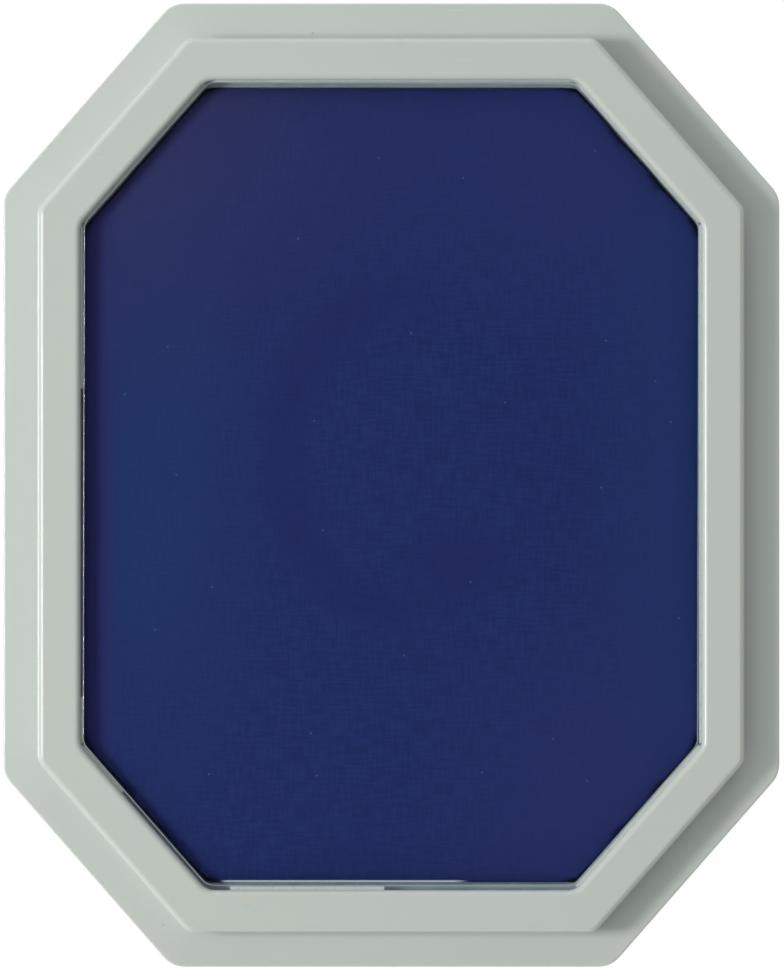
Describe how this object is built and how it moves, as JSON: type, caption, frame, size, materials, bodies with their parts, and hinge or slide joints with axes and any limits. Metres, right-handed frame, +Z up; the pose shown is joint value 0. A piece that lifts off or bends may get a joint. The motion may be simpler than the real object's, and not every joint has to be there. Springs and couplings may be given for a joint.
{
  "type": "ink pad",
  "caption": "Large eight-sided desk ink pad: a cloth-covered pad in a tray, under a lift-off framed lid with a clear window.",
  "frame": {"origin": "on the table under the middle of the case", "axes": "+Z up, +Y along the longer way of the case, +X across it"},
  "size_m": [0.153, 0.19, 0.021],
  "materials": {
    "case_plastic": "satin",
    "clear_plastic": "gloss",
    "clear_tape": "satin",
    "foam_tape": "matte",
    "foot_rubber": "matte",
    "inked_cloth": "matte",
    "ink_felt": "matte",
    "ink_foam": "matte",
    "board_plastic": "matte"
  },
  "bodies": {
    "base": {"base_tray": "case_plastic", "foot_front_left": "foot_rubber", "foot_front_right": "foot_rubber", "foot_back_left": "foot_rubber", "foot_back_right": "foot_rubber", "pad_cover": "inked_cloth", "pad_board": "board_plastic", "foam_reservoir": "ink_foam", "felt_wick": "ink_felt", "mounting_tape_left": "foam_tape", "mounting_tape_middle": "foam_tape", "mounting_tape_right": "foam_tape"},
    "lid": {"lid_frame": "case_plastic", "lid_window": "clear_plastic", "window_tape_top": "clear_tape", "window_tape_top_right": "clear_tape", "window_tape_right": "clear_tape", "window_tape_bottom_right": "clear_tape", "window_tape_bottom": "clear_tape", "window_tape_bottom_left": "clear_tape", "window_tape_left_lower": "clear_tape", "window_tape_left_upper": "clear_tape", "window_tape_top_left": "clear_tape"}
  },
  "joints": [
    {"name": "lid_lift", "type": "slide", "parent": "base", "child": "lid", "axis": [0, 0, 1], "range_m": [0, 0.06]}
  ]
}
